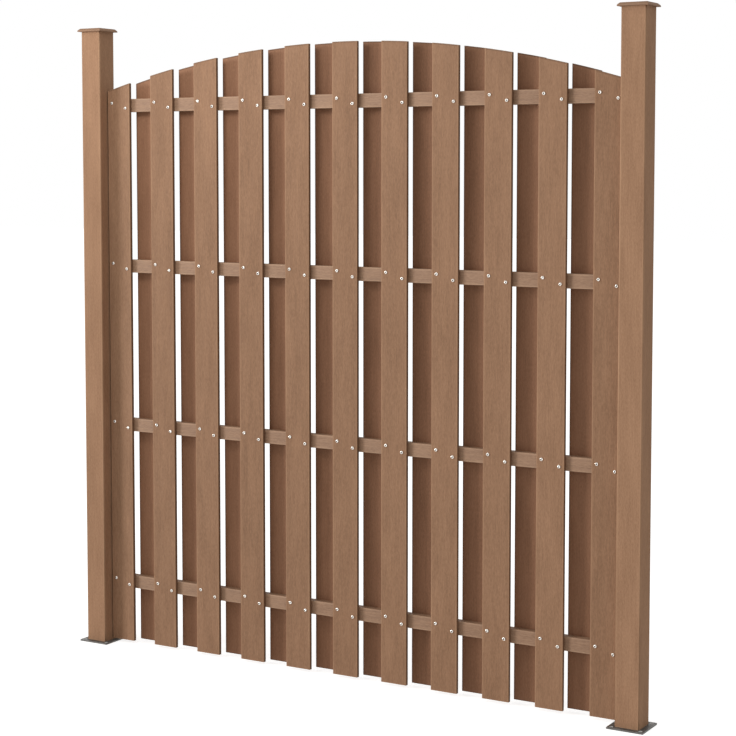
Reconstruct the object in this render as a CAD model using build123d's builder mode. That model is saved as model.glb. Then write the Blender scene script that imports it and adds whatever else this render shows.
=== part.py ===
"""Arched hit-and-miss fence panel of composite boards, between two hollow posts on bolt-down anchors.

Millimetres. X runs along the fence, Y from the front to the back and Z up.
The origin is on the ground, midway between the posts, on the line through their axes.
"""

import os

from build123d import *

os.makedirs("parts", exist_ok=True)

# Boards: upright slats on both faces of the rails, the rear ones behind the front gaps
front_slat_count = 11
slat_width = 83.0
slat_thickness = 11.0
slat_edge_chamfer = 1.5
slat_gap = 79.0
slat_to_post_gap = 3.5

# Heights, each measured from the one before it
ground_gap = 10.0
bottom_rail_height = 185.0
rail_spacing = 493.0
rail_count = 4
shoulder_height = 44.0
arch_rise = 124.0
post_above_arch = 58.5

# Rails
rail_height = 40.0
rail_depth = 25.0
rail_edge_chamfer = 1.5
rail_end_gap = 1.0

# Posts
post_width = 70.0
post_wall = 9.0
post_corner_radius = 3.0

# Post caps
cap_overhang = 9.0
cap_lip_height = 3.5
cap_bevel = 5.0
cap_step_inset = 1.0
cap_step_height = 1.0
cap_wall = 3.0
cap_plug_depth = 22.0
cap_plug_clearance = 0.5

# Anchors: a bolt-down plate with a square tube welded on, which stands inside the post
plate_overhang = 17.5
plate_thickness = 4.0
plate_corner_radius = 3.0
plate_hole_diameter = 9.0
plate_hole_inset = 11.0
tube_height = 250.0
tube_wall = 2.0
tube_corner_radius = 3.5
tube_clearance = 1.0

# Angle brackets under the rail ends
bracket_leg = 40.0
bracket_thickness = 2.5
bracket_bend_radius = 2.5
bracket_side_margin = 2.0
bracket_corner_chamfer = 4.0
bracket_screw_inset = 10.0
bracket_screw_spacing = 16.0

# Pan-head screws
screw_head_radius = 5.0
screw_head_height = 2.8
screw_head_taper = 32.0
screw_head_sides = 8
screw_edge_distance = 15.5
screw_stagger = 8.0
post_screw_height = 80.0
post_screw_spacing = 110.0

# Layout along the fence
slat_pitch = slat_width + slat_gap
panel_half = ((front_slat_count - 1) * slat_pitch + slat_width) / 2
post_face_x = panel_half + slat_to_post_gap
post_axis_x = post_face_x + post_width / 2
rear_slat_count = front_slat_count - 1
front_slat_places = [(i - (front_slat_count - 1) / 2) * slat_pitch for i in range(front_slat_count)]
rear_slat_places = [(i - (rear_slat_count - 1) / 2) * slat_pitch for i in range(rear_slat_count)]
sides = {"left": -1, "right": 1}

# Layout from front to back: the rails lie flush with the back of the posts
rail_back_y = post_width / 2
rail_front_y = rail_back_y - rail_depth
rail_axis_y = rail_back_y - rail_depth / 2
front_slat_y = rail_front_y - slat_thickness / 2
rear_slat_y = rail_back_y + slat_thickness / 2
front_face_y = rail_front_y - slat_thickness
rear_face_y = rail_back_y + slat_thickness

# Layout in height: the slat tops lie on one arc, from the shoulders up to its crown
rail_axis_heights = [ground_gap + bottom_rail_height + i * rail_spacing for i in range(rail_count)]
shoulder_z = rail_axis_heights[-1] + shoulder_height
crown_z = shoulder_z + arch_rise
arch_radius = (panel_half**2 + arch_rise**2) / (2 * arch_rise)
arch_axis_z = crown_z - arch_radius
post_top_z = crown_z + post_above_arch
post_inner_width = post_width - 2 * post_wall
cap_width = post_width + 2 * cap_overhang
cap_height = cap_lip_height + cap_bevel + cap_step_height
plate_width = post_width + 2 * plate_overhang
screw_offset_x = slat_width / 2 - screw_edge_distance


def export_piece(piece, name):
    """Label a finished piece and write it under its own name."""
    piece.part.label = name
    export_step(piece.part, f"parts/{name}.step")


def make_slat(name, slat_x, slat_y):
    """One upright board with eased long edges, its top cut to the arch."""
    with BuildPart() as slat:
        with BuildSketch(Plane.XY.offset(ground_gap)) as section:
            with Locations((slat_x, slat_y)):
                Rectangle(slat_width, slat_thickness)
            chamfer(section.vertices(), length=slat_edge_chamfer)
        extrude(amount=crown_z - ground_gap)
        with BuildSketch(Plane.XZ.offset(-slat_y)):
            with Locations((0, arch_axis_z)):
                Circle(arch_radius)
        extrude(amount=slat_thickness, both=True, mode=Mode.INTERSECT)
    export_piece(slat, name)


def make_screw_heads(name, seats):
    """A group of separate pan heads; each seat is a plane and the places of the heads on it."""
    with BuildPart() as heads:
        for plane, places in seats:
            with BuildSketch(plane):
                with Locations(*places):
                    RegularPolygon(screw_head_radius, screw_head_sides)
            extrude(amount=screw_head_height, taper=screw_head_taper)
    export_piece(heads, name)


# Slats
for number, place in enumerate(front_slat_places, start=1):
    make_slat(f"front_slat_{number:02d}", place, front_slat_y)
for number, place in enumerate(rear_slat_places, start=1):
    make_slat(f"rear_slat_{number:02d}", place, rear_slat_y)

# Rails, numbered from the bottom
for number, rail_z in enumerate(rail_axis_heights, start=1):
    with BuildPart() as rail:
        with BuildSketch(Plane.YZ) as section:
            with Locations((rail_axis_y, rail_z)):
                Rectangle(rail_depth, rail_height)
            chamfer(section.vertices(), length=rail_edge_chamfer)
        extrude(amount=post_face_x - rail_end_gap, both=True)
    export_piece(rail, f"rail_{number}")

# Slat screws, two to a crossing, the left one above the rail's axis and the right one below
for number, rail_z in enumerate(rail_axis_heights, start=1):
    for face, plane, slat_places in (
        ("front", Plane.front.offset(-front_face_y), front_slat_places),
        ("rear", Plane.back.offset(rear_face_y), rear_slat_places),
    ):
        head_places = [
            (place + hand * screw_offset_x, rail_z - hand * screw_stagger)
            for place in slat_places
            for hand in (-1, 1)
        ]
        make_screw_heads(f"{face}_slat_screws_{number}", [(plane, head_places)])

for side, sign in sides.items():
    post_x = sign * post_axis_x

    # Post: a hollow square section standing on the anchor plate
    with BuildPart() as post:
        with BuildSketch(Plane.XY.offset(plate_thickness)):
            with Locations((post_x, 0)):
                RectangleRounded(post_width, post_width, post_corner_radius)
                Rectangle(post_inner_width, post_inner_width, mode=Mode.SUBTRACT)
        extrude(amount=post_top_z - plate_thickness)
    export_piece(post, f"{side}_post")

    # Cap: a lip, a bevel and a raised flat over a plug that fits inside the post, hollow from below
    plug_width = post_inner_width - 2 * cap_plug_clearance
    cavity_width = plug_width - 2 * cap_wall
    step_width = cap_width - 2 * cap_bevel - 2 * cap_step_inset
    with BuildPart() as cap:
        with BuildSketch(Plane.XY.offset(post_top_z)):
            with Locations((post_x, 0)):
                Rectangle(cap_width, cap_width)
        extrude(amount=cap_lip_height + cap_bevel)
        chamfer(cap.faces().sort_by(Axis.Z)[-1].edges(), length=cap_bevel)
        with BuildSketch(cap.faces().sort_by(Axis.Z)[-1]):
            Rectangle(step_width, step_width)
        extrude(amount=cap_step_height)
        with BuildSketch(Plane.XY.offset(post_top_z)):
            with Locations((post_x, 0)):
                Rectangle(plug_width, plug_width)
        extrude(amount=-cap_plug_depth)
        with BuildSketch(Plane.XY.offset(post_top_z - cap_plug_depth)):
            with Locations((post_x, 0)):
                Rectangle(cavity_width, cavity_width)
        extrude(amount=cap_plug_depth + cap_height - cap_wall, mode=Mode.SUBTRACT)
    export_piece(cap, f"{side}_post_cap")

    # Anchor: the drilled plate and its welded tube
    tube_width = post_inner_width - 2 * tube_clearance
    hole_spacing = plate_width - 2 * plate_hole_inset
    with BuildPart() as anchor:
        with BuildSketch():
            with Locations((post_x, 0)):
                RectangleRounded(plate_width, plate_width, plate_corner_radius)
                with GridLocations(hole_spacing, hole_spacing, 2, 2):
                    Circle(plate_hole_diameter / 2, mode=Mode.SUBTRACT)
        extrude(amount=plate_thickness)
        with BuildSketch(Plane.XY.offset(plate_thickness)):
            with Locations((post_x, 0)):
                RectangleRounded(tube_width, tube_width, tube_corner_radius)
                Rectangle(tube_width - 2 * tube_wall, tube_width - 2 * tube_wall, mode=Mode.SUBTRACT)
        extrude(amount=tube_height)
    export_piece(anchor, f"{side}_post_anchor")

    # Angle brackets: one leg under the rail, one down the inner face of the post
    face_x = sign * post_face_x
    inward = (-sign, 0, 0)
    bracket_width = rail_depth - 2 * bracket_side_margin
    outer_screw = bracket_leg - bracket_screw_inset
    inner_screw = outer_screw - bracket_screw_spacing
    bracket_seats = []
    for number, rail_z in enumerate(rail_axis_heights, start=1):
        corner = (face_x, rail_axis_y, rail_z - rail_height / 2)
        profile_plane = Plane(origin=corner, x_dir=inward, z_dir=(0, sign, 0))
        with BuildPart() as bracket:
            with BuildSketch(profile_plane) as profile:
                with BuildLine():
                    Polyline(
                        (0, 0),
                        (bracket_leg, 0),
                        (bracket_leg, -bracket_thickness),
                        (bracket_thickness, -bracket_thickness),
                        (bracket_thickness, -bracket_leg),
                        (0, -bracket_leg),
                        close=True,
                    )
                make_face()
                inside, outside = profile.vertices().sort_by_distance((bracket_thickness, -bracket_thickness))[:2]
                fillet(inside, radius=bracket_bend_radius)
                fillet(outside, radius=bracket_bend_radius + bracket_thickness)
            extrude(amount=bracket_width / 2, both=True)
            foot_corners = bracket.edges().filter_by(Axis.X).group_by(Axis.Z)[0]
            chamfer(foot_corners, length=bracket_corner_chamfer)
            reach = Axis(corner, inward)
            tip_corners = bracket.edges().filter_by(Axis.Z).group_by(reach)[-1]
            chamfer(tip_corners, length=bracket_corner_chamfer)
        export_piece(bracket, f"{side}_bracket_{number}")

        upright_face = Plane(origin=corner, x_dir=(0, -sign, 0), z_dir=inward).offset(bracket_thickness)
        under_face = Plane(origin=corner, x_dir=inward, z_dir=(0, 0, -1)).offset(bracket_thickness)
        bracket_seats.append((upright_face, [(0, -inner_screw), (0, -outer_screw)]))
        bracket_seats.append((under_face, [(inner_screw, 0), (outer_screw, 0)]))
    make_screw_heads(f"{side}_bracket_screws", bracket_seats)

# Post screws, through the back walls of the posts into the anchor tubes
post_screw_levels = [plate_thickness + post_screw_height + i * post_screw_spacing for i in range(2)]
post_screw_places = [(sign * post_axis_x, level) for sign in sides.values() for level in post_screw_levels]
make_screw_heads("post_screws", [(Plane.back.offset(post_width / 2), post_screw_places)])
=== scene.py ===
"""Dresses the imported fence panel: composite boards, hollow posts, moulded caps, anchors and screws.

Metres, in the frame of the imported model: X runs along the fence, Y from the front to the back and Z up.
"""

import logging
import math
import random
from dataclasses import dataclass, replace
from enum import Enum
from typing import Any, Iterable

import bmesh
import bpy
from mathutils import Matrix, Vector


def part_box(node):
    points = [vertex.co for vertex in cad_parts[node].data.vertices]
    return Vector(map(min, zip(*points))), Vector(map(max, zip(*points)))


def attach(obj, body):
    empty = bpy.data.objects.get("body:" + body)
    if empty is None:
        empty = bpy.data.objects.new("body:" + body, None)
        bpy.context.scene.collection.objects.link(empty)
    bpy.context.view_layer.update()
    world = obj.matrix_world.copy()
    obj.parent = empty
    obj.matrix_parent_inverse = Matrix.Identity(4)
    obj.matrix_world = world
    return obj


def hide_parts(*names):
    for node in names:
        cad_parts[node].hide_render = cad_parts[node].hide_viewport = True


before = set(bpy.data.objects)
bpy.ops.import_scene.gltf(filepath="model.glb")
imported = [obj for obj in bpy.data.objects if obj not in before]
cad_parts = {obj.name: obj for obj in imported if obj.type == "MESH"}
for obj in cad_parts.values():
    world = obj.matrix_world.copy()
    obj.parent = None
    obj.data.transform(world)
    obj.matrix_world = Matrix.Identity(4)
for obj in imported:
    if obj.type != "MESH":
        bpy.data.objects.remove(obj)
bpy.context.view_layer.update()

LOG = logging.getLogger("fence_panel")
BODY = "root"
FRONT_SLATS = 11
REAR_SLATS = 10
RAILS = 4

Colour = tuple[float, float, float]
Range = tuple[float, float]
Seat = tuple[Vector, Vector]

# Axes of the shared frame
X, Y, Z = 0, 1, 2

# How squarely a face looks along a direction, as a dot product
SQUARE = 0.99
NEARLY_SQUARE = 0.9

# Heights closer than this are level
LEVEL = 1e-6

# Where most noise lies, where its middle lies, and what it is spread to
MOST_NOISE: Range = (0.30, 0.70)
MIDDLE_NOISE: Range = (0.35, 0.65)
SIGNED: Range = (-1.0, 1.0)
UNIT: Range = (0.0, 1.0)

WHITE: Colour = (1.0, 1.0, 1.0)


def along(axis: int, sign: float = 1.0) -> Vector:
    """A unit vector along an axis, or against it."""
    return sign * Vector([float(other == axis) for other in (X, Y, Z)])


def both_ways(axis: int) -> tuple[Vector, Vector]:
    """The unit vectors against an axis and along it."""
    return along(axis, -1.0), along(axis)


def centre_at(low: Vector, high: Vector, level: float) -> Vector:
    """The middle of a box in plan, at a given height."""
    return Vector(((low.x + high.x) / 2, (low.y + high.y) / 2, level))


class Grain(Enum):
    """The axis that a board's fibres follow."""

    ALONG_FENCE = X
    UPRIGHT = Z


class Named(Enum):
    """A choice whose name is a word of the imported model."""

    @property
    def word(self) -> str:
        """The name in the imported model."""
        return self.name.lower()


class Face(Named):
    """The two faces of the panel, with the way each looks along Y."""

    FRONT = -1.0
    REAR = 1.0


class Side(Named):
    """The two ends of the panel, with the way each lies along X."""

    LEFT = -1.0
    RIGHT = 1.0


class Slot(Enum):
    """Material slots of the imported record."""

    SLAT = "slat_composite"
    RAIL = "rail_composite"
    POST = "post_composite"
    CAP = "cap_composite"
    ANCHOR = "anchor_steel"
    SCREW = "screw_steel"


class Mark(Enum):
    """Mesh attributes that the finishes read."""

    # Edge colour fading across the rims: wearing with a painted highlight, and painted shade on the rear
    # boards
    EDGE = "edge_wear"
    # Tone that differs from board to board; on the slats and posts it also holds painted light
    TONE = "board_tone"
    # Soft and rounded edges in a lighter colour: wearing with a painted highlight
    RUBBED = "rubbed_edge"
    # Cut ends in the core colour, and faces darkened to it; on the slats' narrow faces that is painted
    # shade
    CUT = "cut_end"
    # Screw drive recesses, painted dark as painted shade
    RECESS = "drive_recess"


class Rounded(Enum):
    """What a bevel works on."""

    EDGES = "EDGES"
    CORNERS = "VERTICES"


class Desk:
    """A material's node tree, with short ways to add and join nodes."""

    MIX_FACTOR = 0
    MIX_A = 6
    MIX_B = 7
    MIX_RESULT = 2
    NOISE_ROUGHNESS = 0.55

    def __init__(self, name: str) -> None:
        """Start a node material.

        Args:
            name: The material's name.
        """
        self.material = bpy.data.materials.new(name)
        self.material.use_nodes = True
        self.tree = self.material.node_tree
        self.shader = self.tree.nodes["Principled BSDF"]

    def add(self, kind: str, **settings: Any) -> bpy.types.Node:
        """Add a node.

        Args:
            kind: The node's type name.
            **settings: Properties to set on it.

        Returns:
            The new node.
        """
        node = self.tree.nodes.new(kind)
        for key, value in settings.items():
            setattr(node, key, value)
        return node

    def feed(self, socket: bpy.types.NodeSocket, value: Any) -> None:
        """Link a socket, or set a plain value, on an input.

        Args:
            socket: The input.
            value: An output socket, a number or a colour.
        """
        if isinstance(value, bpy.types.NodeSocket):
            self.tree.links.new(value, socket)
        elif isinstance(value, tuple):
            socket.default_value = (*value, 1.0)
        else:
            socket.default_value = value

    def dress(self, values: dict[str, Any]) -> None:
        """Feed the shader's inputs.

        Args:
            values: What to feed, by the input's name.
        """
        for key, value in values.items():
            self.feed(self.shader.inputs[key], value)

    def place(self) -> bpy.types.NodeSocket:
        """The point on the piece, in the shared frame."""
        return self.add("ShaderNodeTexCoord").outputs["Object"]

    def noise(self, place: bpy.types.NodeSocket, cell: Vector, detail: float) -> bpy.types.NodeSocket:
        """Noise with cells of a given size.

        Args:
            place: Where to read it.
            cell: The cell's size along each axis.
            detail: How many finer layers it has.

        Returns:
            The noise, from 0 to 1.
        """
        mapping = self.add("ShaderNodeMapping")
        mapping.inputs["Scale"].default_value = tuple(1.0 / length for length in cell)
        self.feed(mapping.inputs["Vector"], place)
        node = self.add("ShaderNodeTexNoise")
        node.inputs["Scale"].default_value = 1.0
        node.inputs["Detail"].default_value = detail
        node.inputs["Roughness"].default_value = self.NOISE_ROUGHNESS
        self.feed(node.inputs["Vector"], mapping.outputs["Vector"])
        return node.outputs["Fac"]

    def spread(self, value: bpy.types.NodeSocket, source: Range, target: Range) -> bpy.types.NodeSocket:
        """Map a value from one range to another, held at its ends.

        Args:
            value: The value.
            source: The range it comes in.
            target: The range it leaves in.

        Returns:
            The mapped value.
        """
        node = self.add("ShaderNodeMapRange", clamp=True)
        self.feed(node.inputs["Value"], value)
        for key, number in zip(("From Min", "From Max", "To Min", "To Max"), (*source, *target)):
            node.inputs[key].default_value = number
        return node.outputs["Result"]

    def weigh(self, value: Any, gain: Any, start: Any = 0.0) -> bpy.types.NodeSocket:
        """Multiply a value and add to it.

        Args:
            value: The value.
            gain: What it is multiplied by.
            start: What is added.

        Returns:
            Value times gain, plus start.
        """
        node = self.add("ShaderNodeMath", operation="MULTIPLY_ADD")
        for socket, item in zip(node.inputs, (value, gain, start)):
            self.feed(socket, item)
        return node.outputs["Value"]

    def mix(self, share: Any, first: Any, second: Any) -> bpy.types.NodeSocket:
        """Blend two colours.

        Args:
            share: How much of the second one shows.
            first: The colour at 0.
            second: The colour at 1.

        Returns:
            The blended colour.
        """
        node = self.add("ShaderNodeMix", data_type="RGBA", clamp_factor=True)
        self.feed(node.inputs[self.MIX_FACTOR], share)
        self.feed(node.inputs[self.MIX_A], first)
        self.feed(node.inputs[self.MIX_B], second)
        return node.outputs[self.MIX_RESULT]

    def mark(self, mark: Mark) -> bpy.types.NodeSocket:
        """A mesh attribute's value."""
        return self.add("ShaderNodeAttribute", attribute_name=mark.value).outputs["Fac"]

    def bump(self, height: bpy.types.NodeSocket, strength: float, depth: float) -> None:
        """Raise the surface by a height.

        Args:
            height: The height, from 0 to 1.
            strength: The share of it that shows.
            depth: What a height of 1 stands for.
        """
        node = self.add("ShaderNodeBump")
        node.inputs["Strength"].default_value = strength
        node.inputs["Distance"].default_value = depth
        self.feed(node.inputs["Height"], height)
        self.dress({"Normal": node.outputs["Normal"]})


@dataclass(frozen=True)
class Figure:
    """One kind of marking in a composite, drawn out along the grain.

    Attributes:
        width: The width of a marking.
        length: The length of a marking.
        detail: How many finer layers it has.
        gain: How strongly it changes the colour.
    """

    width: float
    length: float
    detail: float
    gain: float

    def cell(self, grain: Grain) -> Vector:
        """The size of a marking along each axis."""
        return Vector([self.length if axis == grain.value else self.width for axis in (X, Y, Z)])


@dataclass(frozen=True)
class CompositeFinish:
    """Brown wood-plastic composite: fibre streaks, flecks and soft mottling.

    Attributes:
        name: The material's name.
        grain: The axis that the fibres follow.
        dark: The colour of the darkest streaks.
        light: The colour of the lightest streaks.
        worn: The colour along eased edges: wearing, with a painted highlight where it is lighter than the
            faces and painted shade where it is darker.
        sawn: The colour of the core on cut ends, also put on the slats' narrow faces as painted shade.
        streak: The long streaks.
        fleck: The short flecks.
        patch: The mottled patches.
        wear: The least and the most of the edge colour along an eased edge.
        bare: The least and the most of the core's colour on a cut, and where it is painted on other
            faces.
        roughness: The smoothest and roughest surface.
        gloss: How strongly it mirrors light.
        fleck_relief: How high the flecks stand beside the streaks.
        relief: The share of the relief that shows.
        relief_depth: The relief's depth.
    """

    name: str
    grain: Grain
    dark: Colour
    light: Colour
    worn: Colour
    sawn: Colour = (0.130, 0.070, 0.040)
    streak: Figure = Figure(0.0036, 0.060, 3.0, 0.13)
    fleck: Figure = Figure(0.0022, 0.0085, 2.0, 0.19)
    patch: Figure = Figure(0.045, 0.22, 2.0, 0.13)
    wear: Range = (0.25, 0.60)
    bare: Range = (0.35, 0.95)
    roughness: Range = (0.56, 0.72)
    gloss: float = 0.16
    fleck_relief: float = 0.6
    relief: float = 0.35
    relief_depth: float = 0.0005

    def make(self) -> bpy.types.Material:
        """Build the material.

        Returns:
            The material.
        """
        desk = Desk(self.name)
        place = desk.place()
        share = desk.mark(Mark.TONE)
        noises = []
        for figure in (self.streak, self.fleck, self.patch):
            noise = desk.noise(place, figure.cell(self.grain), figure.detail)
            share = desk.weigh(desk.spread(noise, MOST_NOISE, SIGNED), figure.gain, share)
            noises.append(noise)
        streaks, flecks, patches = noises
        colour = desk.mix(share, self.dark, self.light)
        # Eased edges take the edge colour: wearing with a painted highlight where it is lighter than the
        # faces, painted shade where it is darker
        eased = desk.weigh(desk.mark(Mark.RUBBED), 1.0, desk.mark(Mark.EDGE))
        worn = desk.weigh(eased, desk.spread(patches, MOST_NOISE, self.wear))
        colour = desk.mix(worn, colour, self.worn)
        # Cut ends take the core colour, the slats' narrow faces take it as painted shade, and the rim
        # under the slat tops is darkened to it
        cut_and_shade_share = desk.weigh(desk.mark(Mark.CUT), desk.spread(flecks, MIDDLE_NOISE, self.bare))
        colour = desk.mix(cut_and_shade_share, colour, self.sawn)
        roughness = desk.spread(streaks, MOST_NOISE, self.roughness)
        desk.dress({"Base Color": colour, "Roughness": roughness, "Specular IOR Level": self.gloss})
        desk.bump(desk.weigh(flecks, self.fleck_relief, streaks), self.relief, self.relief_depth)
        return desk.material


@dataclass(frozen=True)
class SteelFinish:
    """Patchy steel with a fine skin, and another colour on its marked faces.

    Attributes:
        name: The material's name.
        plain: The main colour.
        patchy: The colour of its patches.
        mark: The attribute that marks faces.
        marked: The colour of marked faces.
        share: How much of that colour shows there.
        patch: The size of the patches.
        patch_detail: How many finer layers they have.
        skin: The size of the bumps in the skin.
        skin_detail: How many finer layers they have.
        roughness: The smoothest and roughest surface.
        metal: How metallic it looks.
        relief: The share of the bumps that shows.
        relief_depth: Their depth.
    """

    name: str
    plain: Colour
    patchy: Colour
    mark: Mark
    marked: Colour
    share: float
    patch: float
    patch_detail: float
    skin: float
    skin_detail: float
    roughness: Range
    metal: float
    relief: float
    relief_depth: float = 0.0003

    def make(self) -> bpy.types.Material:
        """Build the material.

        Returns:
            The material.
        """
        desk = Desk(self.name)
        place = desk.place()
        patches = desk.noise(place, Vector((self.patch,) * 3), self.patch_detail)
        skin = desk.noise(place, Vector((self.skin,) * 3), self.skin_detail)
        colour = desk.mix(desk.spread(patches, MIDDLE_NOISE, UNIT), self.plain, self.patchy)
        colour = desk.mix(desk.weigh(desk.mark(self.mark), self.share), colour, self.marked)
        roughness = desk.spread(patches, MOST_NOISE, self.roughness)
        desk.dress({"Base Color": colour, "Roughness": roughness, "Metallic": self.metal})
        desk.bump(skin, self.relief, self.relief_depth)
        return desk.material


class Piece:
    """A mesh in the making, and what it becomes in the scene."""

    POINT_MARKS = (Mark.EDGE, Mark.TONE)
    FACE_MARKS = (Mark.RUBBED, Mark.CUT, Mark.RECESS)

    def __init__(self, name: str) -> None:
        """Start an empty mesh.

        Args:
            name: The finished piece's name.
        """
        self.name = name
        self.bm = bmesh.new()
        for mark in self.POINT_MARKS:
            self.bm.verts.layers.float.new(mark.value)
        for mark in self.FACE_MARKS:
            self.bm.faces.layers.float.new(mark.value)

    def faces_towards(self, way: Vector, least: float = SQUARE) -> list[bmesh.types.BMFace]:
        """Faces that look one way.

        Args:
            way: The direction.
            least: The smallest dot product with it that counts.

        Returns:
            The faces.
        """
        self.bm.normal_update()
        return [face for face in self.bm.faces if face.normal.dot(way) > least]

    def faces_along(self, axis: int) -> list[bmesh.types.BMFace]:
        """Faces that look roughly along an axis, either way."""
        ways = both_ways(axis)
        return [face for way in ways for face in self.faces_towards(way, NEARLY_SQUARE)]

    def bevel(
        self, items: Iterable[Any], width: float, facets: int, rounded: Rounded = Rounded.EDGES
    ) -> list[bmesh.types.BMVert]:
        """Round some edges, or the corners of a flat face.

        Args:
            items: The edges, or the vertices at the corners.
            width: How far back the rounding starts.
            facets: How many facets it has.
            rounded: Which of the two are rounded.

        Returns:
            The new vertices.
        """
        made = bmesh.ops.bevel(
            self.bm,
            geom=list(items),
            offset=width,
            offset_type="OFFSET",
            segments=facets,
            profile=0.5,
            affect=rounded.value,
            material=-1,
            clamp_overlap=True,
        )
        return made["verts"]

    def square(
        self, centre: Vector, width: float, radius: float = 0.0, facets: int = 1
    ) -> bmesh.types.BMFace:
        """Add a flat square, with rounded corners where it has a radius.

        Args:
            centre: Its middle.
            width: Its side.
            radius: Its corner radius.
            facets: How many facets each corner has.

        Returns:
            Its one face, looking up.
        """
        corners = bmesh.ops.create_grid(
            self.bm, x_segments=1, y_segments=1, size=width / 2, matrix=Matrix.Translation(centre)
        )["verts"]
        if radius:
            corners = self.bevel(corners, radius, facets, Rounded.CORNERS)
        return corners[0].link_faces[0]

    def raise_outline(self, edges: list[bmesh.types.BMEdge], rise: float) -> None:
        """Fill an outline with its holes and extrude it up.

        Args:
            edges: The outline and its holes.
            rise: How far up it goes.
        """
        filled = bmesh.ops.triangle_fill(self.bm, use_beauty=True, edges=edges)["geom"]
        faces = [item for item in filled if isinstance(item, bmesh.types.BMFace)]
        made = bmesh.ops.extrude_face_region(self.bm, geom=faces)["geom"]
        raised = [item for item in made if isinstance(item, bmesh.types.BMVert)]
        bmesh.ops.translate(self.bm, vec=(0.0, 0.0, rise), verts=raised)
        bmesh.ops.recalc_face_normals(self.bm, faces=self.bm.faces)

    def raise_tube(
        self, foot: Vector, width: float, wall: float, radius: float, facets: int, rise: float
    ) -> None:
        """Stand a hollow square section up.

        Args:
            foot: The middle of its foot.
            width: Its outer width.
            wall: Its wall.
            radius: Its outer corner radius.
            facets: How many facets each corner has.
            rise: Its height.
        """
        before = set(self.bm.edges)
        outer = self.square(foot, width, radius, facets)
        inner = self.square(foot, width - 2 * wall)
        bmesh.ops.delete(self.bm, geom=[outer, inner], context="FACES_ONLY")
        self.raise_outline([edge for edge in self.bm.edges if edge not in before], rise)

    def step(self, face: bmesh.types.BMFace, scale: float, rise: float) -> bmesh.types.BMFace:
        """Extrude one level face straight up or down and resize it about its middle.

        Args:
            face: The face.
            scale: Its new width over its old one.
            rise: How far it moves along Z.

        Returns:
            The face at the far end.
        """
        far = bmesh.ops.extrude_discrete_faces(self.bm, faces=[face])["faces"][0]
        middle = Matrix.Translation(-far.calc_center_median())
        bmesh.ops.scale(self.bm, vec=(scale, scale, 1.0), space=middle, verts=far.verts)
        bmesh.ops.translate(self.bm, vec=(0.0, 0.0, rise), verts=far.verts)
        return far

    def rim(self, faces: list[bmesh.types.BMFace], width: float) -> list[bmesh.types.BMVert]:
        """Inset a flat region, so that wear can fade across its rim.

        Args:
            faces: The region.
            width: The rim's width.

        Returns:
            The vertices inside the rim.
        """
        bmesh.ops.inset_region(self.bm, faces=faces, thickness=width, use_even_offset=True)
        return list({vert for face in faces for vert in face.verts})

    def mark(self, mark: Mark, value: float, items: Iterable[Any]) -> None:
        """Set an attribute on some vertices or faces.

        Args:
            mark: The attribute.
            value: Its value there.
            items: Vertices for a mark that fades, faces for one that doesn't.
        """
        holder = self.bm.verts if mark in self.POINT_MARKS else self.bm.faces
        layer = holder.layers.float[mark.value]
        for item in items:
            item[layer] = value

    def mark_edges(self, inner: list[bmesh.types.BMVert], tone: float) -> None:
        """Mark the edge colour, wearing with its painted light, that fades across the rims, and the
        piece's tone.

        Args:
            inner: The vertices inside the rims.
            tone: How light the piece is.
        """
        self.mark(Mark.EDGE, 1.0, self.bm.verts)
        self.mark(Mark.EDGE, 0.0, inner)
        self.mark(Mark.TONE, tone, self.bm.verts)

    def smooth_roundings(self, flat: float) -> None:
        """Shade the faces smooth, apart from those that look along an axis.

        Args:
            flat: How squarely a flat face looks along its axis.
        """
        for face in self.bm.faces:
            face.smooth = max(abs(number) for number in face.normal) < flat

    def to_mesh(self) -> bpy.types.Mesh:
        """Write the shape into a new mesh, and free it.

        Returns:
            The mesh.
        """
        mesh = bpy.data.meshes.new(self.name)
        self.bm.to_mesh(mesh)
        self.bm.free()
        return mesh

    def finish(self, material: bpy.types.Material, slot: Slot, node: str) -> None:
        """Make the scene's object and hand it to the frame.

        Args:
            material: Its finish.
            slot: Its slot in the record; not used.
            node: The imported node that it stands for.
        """
        bmesh.ops.recalc_face_normals(self.bm, faces=self.bm.faces)
        mesh = self.to_mesh()
        mesh.materials.append(material)
        piece = bpy.data.objects.new(self.name, mesh)
        bpy.context.scene.collection.objects.link(piece)
        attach(piece, BODY)
        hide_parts(node)
        LOG.info("%s: %d faces for %s", self.name, len(mesh.polygons), node)


@dataclass(frozen=True)
class Arch:
    """The arc that the slat tops follow.

    Attributes:
        crown: Its highest point.
        radius: Its radius.
    """

    crown: float
    radius: float

    @classmethod
    def from_frame(cls) -> "Arch":
        """Read the arc from the middle slat and the first one.

        Returns:
            The arc.
        """
        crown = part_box(f"front_slat_{(FRONT_SLATS + 1) // 2:02d}")[1].z
        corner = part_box("front_slat_01")[1]
        drop = crown - corner.z
        return cls(crown, (corner.x**2 + drop**2) / (2 * drop))

    def height(self, x: float) -> float:
        """The arc's height at a place along the fence."""
        return self.crown - self.radius + math.sqrt(self.radius**2 - x**2)


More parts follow.
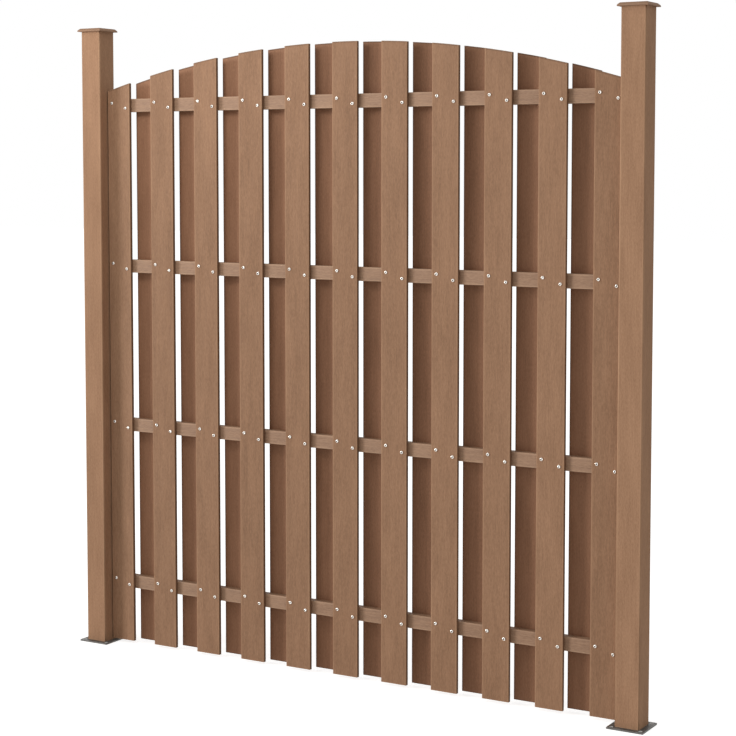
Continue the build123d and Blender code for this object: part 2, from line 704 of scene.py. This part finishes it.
@dataclass
class Board:
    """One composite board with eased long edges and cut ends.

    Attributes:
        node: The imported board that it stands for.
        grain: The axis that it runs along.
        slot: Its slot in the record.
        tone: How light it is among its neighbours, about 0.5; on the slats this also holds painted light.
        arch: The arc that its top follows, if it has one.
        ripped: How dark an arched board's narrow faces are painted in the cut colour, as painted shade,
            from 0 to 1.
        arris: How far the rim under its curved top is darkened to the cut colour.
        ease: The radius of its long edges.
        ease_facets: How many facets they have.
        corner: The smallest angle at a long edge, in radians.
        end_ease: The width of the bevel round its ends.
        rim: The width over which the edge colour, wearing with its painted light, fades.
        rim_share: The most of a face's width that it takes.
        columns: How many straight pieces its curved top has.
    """

    node: str
    grain: Grain
    slot: Slot
    tone: float
    arch: Arch | None = None
    ripped: float = 0.0
    arris: float = 0.0
    ease: float = 0.0018
    ease_facets: int = 3
    corner: float = 1.0
    end_ease: float = 0.0006
    rim: float = 0.0035
    rim_share: float = 0.3
    columns: int = 6

    def build(self, material: bpy.types.Material) -> None:
        """Shape the board and dress it.

        Args:
            material: Its finish.
        """
        low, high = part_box(self.node)
        piece = Piece(f"{self.node}_board")
        size = Matrix.Diagonal((*(high - low), 1.0))
        place = Matrix.Translation((low + high) / 2)
        bmesh.ops.create_cube(piece.bm, size=1.0, matrix=place @ size)
        if self.arch:
            self.cut_top(piece, self.arch, (low.z + high.z) / 2)
        self.ease_edges(piece)
        self.mark_wear(piece)
        piece.finish(material, self.slot, self.node)

    def cut_top(self, piece: Piece, arch: Arch, middle: float) -> None:
        """Bring the top onto the arc.

        Args:
            piece: The board.
            arch: The arc.
            middle: A height between the board's two ends.
        """
        level = [e for e in piece.bm.edges if abs(e.verts[0].co.x - e.verts[1].co.x) > self.ease]
        bmesh.ops.subdivide_edges(piece.bm, edges=level, cuts=self.columns - 1, use_grid_fill=True)
        for vert in piece.bm.verts:
            if vert.co.z > middle:
                vert.co.z = arch.height(vert.co.x)

    def ends(self, piece: Piece) -> list[bmesh.types.BMFace]:
        """The board's two cut ends."""
        return piece.faces_along(self.grain.value)

    def ease_edges(self, piece: Piece) -> None:
        """Round the long edges, then take the sharpness off the ends.

        Args:
            piece: The board.
        """
        piece.bm.normal_update()
        axis = self.grain.value
        corners = [
            edge
            for edge in piece.bm.edges
            if abs((edge.verts[1].co - edge.verts[0].co).normalized()[axis]) > NEARLY_SQUARE
            and edge.calc_face_angle() > self.corner
        ]
        piece.bevel(corners, self.ease, self.ease_facets)
        ends = set(self.ends(piece))
        arrises = [e for e in piece.bm.edges if sum(face in ends for face in e.link_faces) == 1]
        piece.bevel(arrises, self.end_ease, 1)

    def under_arch(self, piece: Piece, arch: Arch) -> list[bmesh.types.BMFace]:
        """Faces of the narrow rim under the curved top.

        Args:
            piece: The board.
            arch: The arc.

        Returns:
            The faces.
        """
        reach = 2 * self.rim
        return [
            face
            for face in piece.bm.faces
            if all(arch.height(vert.co.x) - vert.co.z < reach for vert in face.verts)
        ]

    def mark_wear(self, piece: Piece) -> None:
        """Mark the eased edges with their painted light, the cut ends, the painted shade on the narrow
        faces, the darker rim under the top and the board's tone.

        Args:
            piece: The board.
        """
        inner: list[bmesh.types.BMVert] = []
        first, second = sorted({X, Y, Z} - {self.grain.value})
        for axis, across in ((first, second), (second, first)):
            for way in both_ways(axis):
                region = piece.faces_towards(way)
                reach = [vert.co[across] for face in region for vert in face.verts]
                width = max(reach) - min(reach)
                inner += piece.rim(region, min(self.rim, self.rim_share * width))
        piece.mark_edges(inner, self.tone)
        if self.arch:
            # The rim under the curved top is darkened to the cut colour
            piece.mark(Mark.CUT, self.arris, self.under_arch(piece, self.arch))
            # Painted shade: the narrow faces are darkened to the cut colour
            piece.mark(Mark.CUT, self.ripped, piece.faces_along(X))
        piece.mark(Mark.CUT, 1.0, self.ends(piece))
        piece.smooth_roundings(NEARLY_SQUARE)


@dataclass
class Slats:
    """The upright boards on both faces of the rails.

    Attributes:
        front: The finish of the front boards.
        rear: The finish of the rear ones.
        front_tones: How light each front board is, from the left: tone that differs from board to board,
            with painted light in it.
        rear_tones: How light each rear board is, from the left: tone that differs from board to board,
            with painted light that makes the left end lightest.
        ripped: How dark their narrow faces are painted in the cut colour, as painted shade.
        arris: How far the rim under their curved tops is darkened to the cut colour.
    """

    front: CompositeFinish
    rear: CompositeFinish
    # Tones that differ from board to board, with painted light in them
    front_tones: tuple[float, ...] = (
        0.49, 0.43, 0.47, 0.40, 0.45, 0.44, 0.49, 0.53, 0.52, 0.60, 0.43
    )
    rear_tones: tuple[float, ...] = (0.66, 0.59, 0.62, 0.53, 0.51, 0.46, 0.40, 0.47, 0.58, 0.56)
    ripped: float = 0.9
    arris: float = 0.7

    def build(self, arch: Arch) -> None:
        """Build every slat.

        Args:
            arch: The arc that their tops follow.
        """
        for face, finish, tones in (
            (Face.FRONT, self.front, self.front_tones),
            (Face.REAR, self.rear, self.rear_tones),
        ):
            material = finish.make()
            for number, tone in enumerate(tones, start=1):
                node = f"{face.word}_slat_{number:02d}"
                slat = Board(node, Grain.UPRIGHT, Slot.SLAT, tone, arch, self.ripped, self.arris)
                slat.build(material)


@dataclass
class Rails:
    """The level boards between the posts.

    Attributes:
        finish: Their finish.
        tones: How light each one is, from the lowest up.
    """

    finish: CompositeFinish
    tones: tuple[float, ...] = (0.47, 0.52, 0.49, 0.54)

    def build(self) -> None:
        """Build every rail."""
        material = self.finish.make()
        for number, tone in enumerate(self.tones, start=1):
            Board(f"rail_{number}", Grain.ALONG_FENCE, Slot.RAIL, tone).build(material)


@dataclass
class Post:
    """A hollow square post.

    Attributes:
        side: The end of the panel where it stands.
        tone: How light it is, from 0 to 1.
        wall: Its wall.
        corner: Its outer corner radius.
        corner_facets: How many facets each corner has.
        rim: The width over which the edge colour, wearing with a painted highlight, fades.
        flat: How squarely its flat faces look along an axis.
    """

    side: Side
    tone: float
    wall: float = 0.009
    corner: float = 0.003
    corner_facets: int = 5
    rim: float = 0.003
    flat: float = 0.995

    def build(self, material: bpy.types.Material) -> None:
        """Extrude the hollow section and dress it.

        Args:
            material: Its finish.
        """
        node = f"{self.side.word}_post"
        low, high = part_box(node)
        piece = Piece(f"{node}_tube")
        width = high.x - low.x
        foot = centre_at(low, high, low.z)
        piece.raise_tube(foot, width, self.wall, self.corner, self.corner_facets, high.z - low.z)
        self.mark_wear(piece, foot, width)
        piece.finish(material, Slot.POST, node)

    def mark_wear(self, piece: Piece, foot: Vector, width: float) -> None:
        """Mark the rounded corners with their painted highlight, the cut ends and the post's tone.

        Args:
            piece: The post.
            foot: The middle of its foot.
            width: Its outer width.
        """
        inner: list[bmesh.types.BMVert] = []
        middle_of_wall = (width - self.wall) / 2
        for way in (*both_ways(X), *both_ways(Y)):
            outside = [
                face
                for face in piece.faces_towards(way)
                if (face.calc_center_median() - foot).dot(way) > middle_of_wall
            ]
            inner += piece.rim(outside, self.rim)
        piece.mark_edges(inner, self.tone)
        piece.mark(Mark.CUT, 1.0, piece.faces_along(Z))
        piece.smooth_roundings(self.flat)


@dataclass
class PostCap:
    """A moulded cap: a lip, a bevel and a raised flat, with a hollow plug below.

    Attributes:
        side: The end of the panel where it sits.
        tone: How light it is, from 0 to 1.
        rubbed: How far its soft edges take the lighter edge colour: wearing with a painted highlight.
        lip: The lip's height.
        bevel: The bevel's width and height.
        ledge: The ledge round the raised flat.
        raised: The raised flat's height.
        plug: The plug's width.
        plug_depth: How far the plug goes down.
        wall: The plug's wall.
        corner: The corner radius in plan.
        soft: The rounding of the lip and the bevel.
        crisp: The rounding of the raised flat.
        facets: How many facets the corners and the roundings have.
        near: How near to a moulding's level its edges lie, as a share of its height.
        crease: The smallest angle that is rounded, in radians.
    """

    side: Side
    tone: float = 0.5
    rubbed: float = 0.6
    lip: float = 0.0035
    bevel: float = 0.005
    ledge: float = 0.001
    raised: float = 0.001
    plug: float = 0.051
    plug_depth: float = 0.022
    wall: float = 0.003
    corner: float = 0.0015
    soft: float = 0.0013
    crisp: float = 0.0003
    facets: int = 3
    near: float = 0.1
    crease: float = 0.3

    def build(self, material: bpy.types.Material) -> None:
        """Raise the cap in steps from its underside and dress it.

        Args:
            material: Its finish.
        """
        node = f"{self.side.word}_post_cap"
        low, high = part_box(node)
        piece = Piece(f"{node}_moulding")
        width = high.x - low.x
        seat = centre_at(low, high, low.z + self.plug_depth)
        under = piece.square(seat, width, self.corner, self.facets)
        top = piece.step(under, 1.0, self.lip)
        shelf = width - 2 * self.bevel
        top = piece.step(top, shelf / width, self.bevel)
        top = piece.step(top, (shelf - 2 * self.ledge) / shelf, 0.0)
        piece.step(top, 1.0, self.raised)
        lip_top = seat.z + self.lip
        self.round_mouldings(piece, self.crisp, lip_top + (1.0 - self.near) * self.bevel, high.z)
        near_lip = self.near * self.lip
        self.round_mouldings(piece, self.soft, lip_top - near_lip, lip_top + near_lip)
        self.add_plug(piece, seat, width)
        self.mark_wear(piece)
        piece.finish(material, Slot.CAP, node)

    def round_mouldings(self, piece: Piece, rounding: float, lowest: float, highest: float) -> None:
        """Round the level edges between two heights.

        Args:
            piece: The cap.
            rounding: How far back the rounding starts.
            lowest: The lower height.
            highest: The upper height.
        """
        mouldings = [
            edge
            for edge in piece.bm.edges
            if abs(edge.verts[0].co.z - edge.verts[1].co.z) < LEVEL
            and lowest < edge.verts[0].co.z <= highest + LEVEL
            and edge.is_manifold
            and edge.calc_face_angle() > self.crease
        ]
        piece.bevel(mouldings, rounding, self.facets)

    def add_plug(self, piece: Piece, seat: Vector, width: float) -> None:
        """Close the underside with the hollow plug.

        Args:
            piece: The cap.
            seat: The middle of its underside.
            width: Its outer width.
        """
        bmesh.ops.holes_fill(piece.bm, edges=[edge for edge in piece.bm.edges if edge.is_boundary])
        under = min(piece.bm.faces, key=lambda face: (face.calc_center_median() - seat).length)
        root = piece.step(under, self.plug / width, 0.0)
        tip = piece.step(root, 1.0, -self.plug_depth)
        mouth = piece.step(tip, (self.plug - 2 * self.wall) / self.plug, 0.0)
        piece.step(mouth, 1.0, self.plug_depth + self.lip + self.bevel + self.raised - self.wall)

    def mark_wear(self, piece: Piece) -> None:
        """Mark the soft edges, with their painted highlight, and the cap's tone.

        Args:
            piece: The cap.
        """
        bmesh.ops.recalc_face_normals(piece.bm, faces=piece.bm.faces)
        soft = [f for f in piece.bm.faces if min(e.calc_length() for e in f.edges) < self.soft]
        for face in piece.bm.faces:
            face.smooth = face in soft
        # The soft edges take the lighter edge colour: wearing with a painted highlight
        piece.mark(Mark.RUBBED, self.rubbed, soft)
        piece.mark(Mark.TONE, self.tone, piece.bm.verts)


@dataclass
class Anchor:
    """A bolt-down plate with four holes, and the tube that stands inside the post.

    Attributes:
        side: The end of the panel where it lies.
        thickness: The plate's thickness.
        corner: The plate's corner radius.
        corner_facets: How many facets a corner of the plate or the tube has.
        hole: The radius of a hole.
        hole_facets: How many facets a hole has.
        hole_inset: From the plate's edge to a hole's middle.
        tube: The tube's width.
        tube_wall: The tube's wall.
        tube_corner: The tube's corner radius.
        soft: The rounding of the plate's upper edges.
        soft_facets: How many facets the rounding has.
        burr: The width of the bevel round a hole, which is painted bright as a highlight.
        burr_reach: How far from a hole it counts, in widths of that bevel.
        burr_shine: How bright the bevel round a hole is, as a painted highlight, beside a rounded upper
            edge.
        rounded: How far up a rounded face looks, at least and at most.
    """

    side: Side
    thickness: float = 0.004
    corner: float = 0.003
    corner_facets: int = 4
    hole: float = 0.0045
    hole_facets: int = 24
    hole_inset: float = 0.011
    tube: float = 0.050
    tube_wall: float = 0.002
    tube_corner: float = 0.0035
    soft: float = 0.0006
    soft_facets: int = 2
    burr: float = 0.0012
    burr_reach: float = 1.5
    burr_shine: float = 1.4
    rounded: Range = (0.1, 0.95)

    def build(self, material: bpy.types.Material) -> None:
        """Cut the plate, stand the tube on it and dress them.

        Args:
            material: Their finish.
        """
        node = f"{self.side.word}_post_anchor"
        low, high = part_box(node)
        piece = Piece(f"{node}_plate")
        self.cut_plate(piece, centre_at(low, high, low.z), high.x - low.x)
        foot = centre_at(low, high, low.z + self.thickness)
        rise = high.z - foot.z
        piece.raise_tube(foot, self.tube, self.tube_wall, self.tube_corner, self.corner_facets, rise)
        piece.finish(material, Slot.ANCHOR, node)

    def cut_plate(self, piece: Piece, centre: Vector, width: float) -> None:
        """Make the plate, its four holes and its rounded upper edges, whose lighter colour is wearing
        with a painted highlight.

        Args:
            piece: The anchor.
            centre: The middle of its underside.
            width: The plate's width.
        """
        face = piece.square(centre, width, self.corner, self.corner_facets)
        bmesh.ops.delete(piece.bm, geom=[face], context="FACES_ONLY")
        reach = width / 2 - self.hole_inset
        holes = [centre + Vector((x, y, 0.0)) for x in (-reach, reach) for y in (-reach, reach)]
        for hole in holes:
            place = Matrix.Translation(hole)
            bmesh.ops.create_circle(
                piece.bm, segments=self.hole_facets, radius=self.hole, matrix=place
            )
        piece.raise_outline(piece.bm.edges[:], self.thickness)
        top = set(piece.faces_towards(along(Z)))
        rims = [edge for edge in piece.bm.edges if sum(face in top for face in edge.link_faces) == 1]
        for drilled, rounding in ((False, self.soft), (True, self.burr)):
            edges = [
                edge
                for edge in rims
                if edge.is_valid and self.drilled(edge.verts[0].co, holes) is drilled
            ]
            piece.bevel(edges, rounding, self.soft_facets)
        piece.bm.normal_update()
        least, most = self.rounded
        # Rounded upper edges take a lighter colour, wearing with a painted highlight, and the hole bevels
        # a brighter painted highlight
        for face in piece.bm.faces:
            inside = self.drilled(face.calc_center_median(), holes) and face.normal.z < most
            if inside or least < face.normal.z < most:
                piece.mark(Mark.RUBBED, self.burr_shine if inside else 1.0, [face])
                face.smooth = True

    def drilled(self, point: Vector, holes: list[Vector]) -> bool:
        """Whether a point lies within the deburred bevel of a hole."""
        nearest = min((point - hole).to_2d().length for hole in holes)
        return nearest < self.hole + self.burr_reach * self.burr


@dataclass
class ScrewHeads:
    """Pan heads with a cross recess, in groups that share one piece.

    Attributes:
        finish: Their finish.
        radius: A head's radius.
        height: A head's height.
        sides: How many facets go round it.
        profile: Each step up the head: its width over the last one, and its share of the height.
        recess: The recess's width at its floor over its mouth, and its share of the height.
        arm: How far the cross reaches, as a share of the radius.
        notch: How far the corners between its arms reach, as such a share.
        arm_angle: Half the angle that an arm's end takes up, in degrees.
        arm_sector: Half the angle whose vertices an arm takes, in degrees.
        upward: How far up a face of the dome looks, at least.
        edge_distance: From a slat's edge to its screws.
        stagger: How far the two screws of a crossing stand off the rail's axis.
        bracket_reach: How far along a bracket's leg its screws are.
        bracket_thickness: The thickness of a bracket.
        post_levels: Heights of the post screws above the foot of the post.
        seed: The start of the random turns.
    """

    finish: SteelFinish
    radius: float = 0.005
    height: float = 0.0028
    sides: int = 12
    profile: tuple[Range, ...] = ((1.0, 0.30), (0.84, 0.45), (0.72, 0.25))
    recess: Range = (0.7, 0.55)
    arm: float = 0.52
    notch: float = 0.22
    arm_angle: float = 17.0
    arm_sector: float = 40.0
    upward: float = 0.1
    edge_distance: float = 0.0155
    stagger: float = 0.008
    bracket_reach: Range = (0.014, 0.030)
    bracket_thickness: float = 0.0025
    post_levels: Range = (0.080, 0.190)
    seed: int = 5

    def make_template(self) -> bpy.types.Mesh:
        """Shape one head, standing on the ground at the origin.

        Returns:
            The head's mesh.
        """
        piece = Piece("pan_head")
        disc = bmesh.ops.create_circle(
            piece.bm, cap_ends=True, segments=self.sides, radius=self.radius
        )
        face = disc["verts"][0].link_faces[0]
        for scale, rise in self.profile:
            face = piece.step(face, scale, rise * self.height)
        mouth = piece.step(face, 1.0, 0.0)
        self.shape_cross(mouth)
        scale, depth = self.recess
        floor = piece.step(mouth, scale, -depth * self.height)
        walls = [other for edge in floor.edges for other in edge.link_faces]
        # The recess floor and walls are painted dark: painted shade
        piece.mark(Mark.RECESS, 1.0, [floor, *walls])
        bmesh.ops.recalc_face_normals(piece.bm, faces=piece.bm.faces)
        for other in piece.bm.faces:
            other.smooth = other.normal.z > self.upward and other is not floor
        return piece.to_mesh()

    def shape_cross(self, mouth: bmesh.types.BMFace) -> None:
        """Draw the recess's mouth into a cross, three vertices to an arm.

        Args:
            mouth: The face on top of the head.
        """
        quarter_turn = math.pi / 2
        for vert in mouth.verts:
            turn = math.atan2(vert.co.y, vert.co.x)
            quarter = round(turn / quarter_turn) * quarter_turn
            off = turn - quarter
            if abs(off) < math.radians(self.arm_sector):
                reach = self.arm * self.radius
                angle = quarter + math.copysign(math.radians(self.arm_angle), off)
            else:
                reach = self.notch * self.radius
                angle = turn
            vert.co.x, vert.co.y = reach * math.cos(angle), reach * math.sin(angle)

    def slat_seats(self, face: Face, rail: str) -> list[Seat]:
        """Seats along one rail, on one face of the panel.

        Args:
            face: The panel's face.
            rail: The rail's node.

        Returns:
            The place of each head and the way it looks.
        """
        rail_low, rail_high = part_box(rail)
        axis = (rail_low.z + rail_high.z) / 2
        count = FRONT_SLATS if face is Face.FRONT else REAR_SLATS
        way = along(Y, face.value)
        rise = -face.value * self.stagger
        seats = []
        for number in range(1, count + 1):
            low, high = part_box(f"{face.word}_slat_{number:02d}")
            y = low.y if face is Face.FRONT else high.y
            seats.append((Vector((low.x + self.edge_distance, y, axis + rise)), way))
            seats.append((Vector((high.x - self.edge_distance, y, axis - rise)), way))
        return seats

    def bracket_seats(self, side: Side) -> list[Seat]:
        """Seats on both legs of one side's brackets.

        Args:
            side: The end of the panel.

        Returns:
            The place of each head and the way it looks.
        """
        seats = []
        inward = -side.value
        for number in range(1, RAILS + 1):
            low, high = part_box(f"{side.word}_bracket_{number}")
            heel = low.x if side is Side.LEFT else high.x
            y = (low.y + high.y) / 2
            upright = heel + inward * self.bracket_thickness
            under = high.z - self.bracket_thickness
            for reach in self.bracket_reach:
                seats.append((Vector((upright, y, high.z - reach)), along(X, inward)))
                seats.append((Vector((heel + inward * reach, y, under)), along(Z, -1.0)))
        return seats

    def post_seats(self) -> list[Seat]:
        """Seats on the backs of the posts.

        Returns:
            The place of each head and the way it looks.
        """
        seats = []
        for side in Side:
            low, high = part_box(f"{side.word}_post")
            for level in self.post_levels:
                place = Vector(((low.x + high.x) / 2, high.y, low.z + level))
                seats.append((place, along(Y)))
        return seats

    def seats(self) -> dict[str, list[Seat]]:
        """Seats of every group.

        Returns:
            The place of each head and the way it looks, by the group's node.
        """
        numbers = range(1, RAILS + 1)
        groups = {
            f"{face.word}_slat_screws_{number}": self.slat_seats(face, f"rail_{number}")
            for face in Face
            for number in numbers
        }
        for side in Side:
            groups[f"{side.word}_bracket_screws"] = self.bracket_seats(side)
        groups["post_screws"] = self.post_seats()
        return groups

    def build(self) -> None:
        """Set the heads on their seats, one piece to a group."""
        material = self.finish.make()
        template = self.make_template()
        for node, seats in self.seats().items():
            piece = Piece(f"{node}_heads")
            chance = random.Random(f"{self.seed} {piece.name}")
            for place, way in seats:
                start = len(piece.bm.verts)
                piece.bm.from_mesh(template)
                piece.bm.verts.ensure_lookup_table()
                turn = Matrix.Rotation(chance.uniform(0.0, math.pi / 2), 4, "Z")
                stand = way.to_track_quat("Z", "Y").to_matrix().to_4x4()
                seat = Matrix.Translation(place) @ stand @ turn
                bmesh.ops.transform(piece.bm, matrix=seat, verts=piece.bm.verts[start:])
            piece.finish(material, Slot.SCREW, node)
        bpy.data.meshes.remove(template)


@dataclass
class Brackets:
    """The bent steel angles under the rail ends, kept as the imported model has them.

    Attributes:
        finish: Their finish.
    """

    finish: SteelFinish

    def build(self) -> None:
        """Dress every bracket."""
        material = self.finish.make()
        for side in Side:
            for number in range(1, RAILS + 1):
                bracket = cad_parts[f"{side.word}_bracket_{number}"]
                bracket.data.materials.clear()
                bracket.data.materials.append(material)
                LOG.info("%s: coated", bracket.name)


@dataclass(frozen=True)
class Lamp:
    """A square studio light.

    Attributes:
        name: Its name.
        power: Its power.
        width: Its side.
        place: Where it hangs.
        target: What it looks at.
    """

    name: str
    power: float
    width: float
    place: tuple[float, float, float]
    target: tuple[float, float, float] = (0.0, 0.0, 0.95)

    def hang(self) -> None:
        """Hang the light and turn it to its target."""
        lamp = bpy.data.lights.new(self.name, "AREA")
        lamp.energy = self.power
        lamp.size = self.width
        light = bpy.data.objects.new(self.name, lamp)
        light.location = self.place
        way = Vector(self.target) - Vector(self.place)
        light.rotation_euler = way.to_track_quat("-Z", "Y").to_euler()
        bpy.context.scene.collection.objects.link(light)


@dataclass
class Studio:
    """A pale floor, a white surround, two lights and the camera.

    Attributes:
        key: The key light, which rakes the front from the left.
        accent: A small light near the upper left corner.
        surround: The surround's light on the panel.
        floor_colour: The floor's colour.
        floor_roughness: The floor's roughness.
        floor_glow: What the camera sees on the floor besides its lit colour.
        floor_width: The floor's width.
        lens: The camera's focal length, in millimetres.
        sensor: The width of its frame, in millimetres.
        clip: How far it sees.
        place: The camera's place.
        tilt: How far down it looks, in degrees.
        turn: How far it is turned about Z, in degrees.
        shift: How far its frame is moved up, as a share of its width.
    """

    key: Lamp = Lamp("key_light", 3370.0, 6.0, (-19.8, -12.3, 3.4))
    accent: Lamp = Lamp("accent_light", 7.0, 0.5, (-0.68, -1.0, 2.25))
    surround: float = 0.55
    floor_colour: Colour = (0.80, 0.80, 0.79)
    floor_roughness: float = 0.9
    floor_glow: float = 0.68
    floor_width: float = 60.0
    lens: float = 88.883
    sensor: float = 36.0
    clip: float = 200.0
    place: tuple[float, float, float] = (2.6843, -4.4487, 1.4856)
    tilt: float = 4.0
    turn: float = 30.375
    shift: float = -0.1003

    def build(self) -> None:
        """Set the stage."""
        for lamp in (self.key, self.accent):
            lamp.hang()
        self.lay_floor()
        self.paint_world()
        self.set_camera()
        bpy.context.scene.view_settings.view_transform = "Standard"

    @staticmethod
    def seen_share(tree: bpy.types.NodeTree) -> bpy.types.NodeSocket:
        """Add nodes for the rays that see the white surround.

        Args:
            tree: The node tree.

        Returns:
            1 for camera, glossy and transmission rays.
        """
        path = tree.nodes.new("ShaderNodeLightPath")
        share = path.outputs["Is Camera Ray"]
        for name in ("Is Glossy Ray", "Is Transmission Ray"):
            most = tree.nodes.new("ShaderNodeMath")
            most.operation = "MAXIMUM"
            tree.links.new(share, most.inputs[0])
            tree.links.new(path.outputs[name], most.inputs[1])
            share = most.outputs["Value"]
        return share

    def lay_floor(self) -> None:
        """Lay the floor, white to the camera apart from the panel's shadow."""
        bm = bmesh.new()
        bmesh.ops.create_grid(bm, x_segments=1, y_segments=1, size=self.floor_width / 2)
        mesh = bpy.data.meshes.new("floor")
        bm.to_mesh(mesh)
        bm.free()
        desk = Desk("pale_floor")
        desk.dress(
            {
                "Base Color": self.floor_colour,
                "Roughness": self.floor_roughness,
                "Specular IOR Level": 0.0,
                "Emission Color": WHITE,
                "Emission Strength": desk.weigh(self.seen_share(desk.tree), self.floor_glow),
            }
        )
        mesh.materials.append(desk.material)
        floor = bpy.data.objects.new("floor", mesh)
        bpy.context.scene.collection.objects.link(floor)

    def paint_world(self) -> None:
        """Paint the surround: white to the eye, softer as a light."""
        world = bpy.data.worlds.new("studio")
        bpy.context.scene.world = world
        world.use_nodes = True
        tree = world.node_tree
        lit = tree.nodes["Background"]
        seen = tree.nodes.new("ShaderNodeBackground")
        for background, strength in ((lit, self.surround), (seen, 1.0)):
            background.inputs["Color"].default_value = (*WHITE, 1.0)
            background.inputs["Strength"].default_value = strength
        mix = tree.nodes.new("ShaderNodeMixShader")
        for socket, source in zip(mix.inputs, (self.seen_share(tree), lit.outputs[0], seen.outputs[0])):
            tree.links.new(source, socket)
        tree.links.new(mix.outputs[0], tree.nodes["World Output"].inputs["Surface"])

    def set_camera(self) -> None:
        """Stand the camera at the photograph's viewing angle."""
        data = bpy.data.cameras.new("camera")
        data.sensor_width = self.sensor
        data.lens = self.lens
        data.shift_y = self.shift
        data.clip_end = self.clip
        camera = bpy.data.objects.new("camera", data)
        camera.location = self.place
        camera.rotation_euler = (math.radians(90.0 - self.tilt), 0.0, math.radians(self.turn))
        bpy.context.scene.collection.objects.link(camera)
        bpy.context.scene.camera = camera


FRONT_COMPOSITE = CompositeFinish(
    name="slat_composite",
    grain=Grain.UPRIGHT,
    dark=(0.205, 0.108, 0.058),
    light=(0.395, 0.222, 0.129),
    # Lighter eased edges: wearing with a painted highlight
    worn=(0.430, 0.250, 0.145),
)
REAR_COMPOSITE = CompositeFinish(
    name="rear_slat_composite",
    grain=Grain.UPRIGHT,
    dark=(0.202, 0.096, 0.051),
    light=(0.389, 0.198, 0.113),
    # Painted shade: the rear boards' eased edges are darker than their faces
    worn=(0.120, 0.060, 0.034),
)
RAIL_COMPOSITE = CompositeFinish(
    name="rail_composite",
    grain=Grain.ALONG_FENCE,
    dark=(0.215, 0.118, 0.067),
    light=(0.411, 0.246, 0.151),
    # Lighter eased edges: wearing with a painted highlight
    worn=(0.480, 0.305, 0.195),
    streak=Figure(0.0036, 0.060, 3.0, 0.20),
    gloss=0.40,
)
POST_COMPOSITE = CompositeFinish(
    name="post_composite",
    grain=Grain.UPRIGHT,
    dark=(0.258, 0.139, 0.079),
    light=(0.464, 0.268, 0.160),
    # Lighter eased edges: wearing with a painted highlight
    worn=(0.480, 0.285, 0.170),
    streak=Figure(0.0036, 0.060, 3.0, 0.12),
    gloss=0.04,
)
CAP_COMPOSITE = CompositeFinish(
    name="cap_composite",
    grain=Grain.ALONG_FENCE,
    dark=(0.210, 0.117, 0.069),
    light=(0.370, 0.220, 0.138),
    # Lighter eased edges: wearing with a painted highlight
    worn=(0.430, 0.275, 0.180),
    streak=Figure(0.0030, 0.020, 3.0, 0.10),
    patch=Figure(0.045, 0.22, 2.0, 0.10),
)
ANCHOR_STEEL = SteelFinish(
    name="anchor_steel",
    plain=(0.085, 0.080, 0.074),
    patchy=(0.160, 0.152, 0.142),
    mark=Mark.RUBBED,
    # Lighter colour of rounded edges and hole bevels: wearing with a painted highlight
    marked=(0.50, 0.49, 0.47),
    share=0.7,
    patch=0.018,
    patch_detail=4.0,
    skin=0.0012,
    skin_detail=2.0,
    roughness=(0.42, 0.58),
    metal=0.35,
    relief=0.25,
)
BRACKET_STEEL = replace(ANCHOR_STEEL, name="bracket_steel")
SCREW_STEEL = SteelFinish(
    name="screw_steel",
    plain=(0.90, 0.87, 0.82),
    patchy=(0.72, 0.69, 0.65),
    mark=Mark.RECESS,
    # Painted shade: the drive recess is painted dark
    marked=(0.16, 0.14, 0.12),
    share=1.0,
    patch=0.004,
    patch_detail=2.0,
    skin=0.004,
    skin_detail=2.0,
    roughness=(0.24, 0.38),
    metal=1.0,
    relief=0.10,
)
# Painted light: the right post is given a lighter tone than the left one
POST_TONES_AND_LIGHT = {Side.LEFT: 0.50, Side.RIGHT: 0.57}


def main() -> None:
    """Build the panel's pieces in order, then the studio."""
    logging.basicConfig(level=logging.INFO, format="%(name)s %(message)s")
    arch = Arch.from_frame()
    Slats(FRONT_COMPOSITE, REAR_COMPOSITE).build(arch)
    Rails(RAIL_COMPOSITE).build()
    post_material = POST_COMPOSITE.make()
    cap_material = CAP_COMPOSITE.make()
    anchor_material = ANCHOR_STEEL.make()
    for side, tone in POST_TONES_AND_LIGHT.items():
        Post(side, tone).build(post_material)
        PostCap(side).build(cap_material)
        Anchor(side).build(anchor_material)
    Brackets(BRACKET_STEEL).build()
    ScrewHeads(SCREW_STEEL).build()
    Studio().build()


if __name__ == "__main__":
    main()
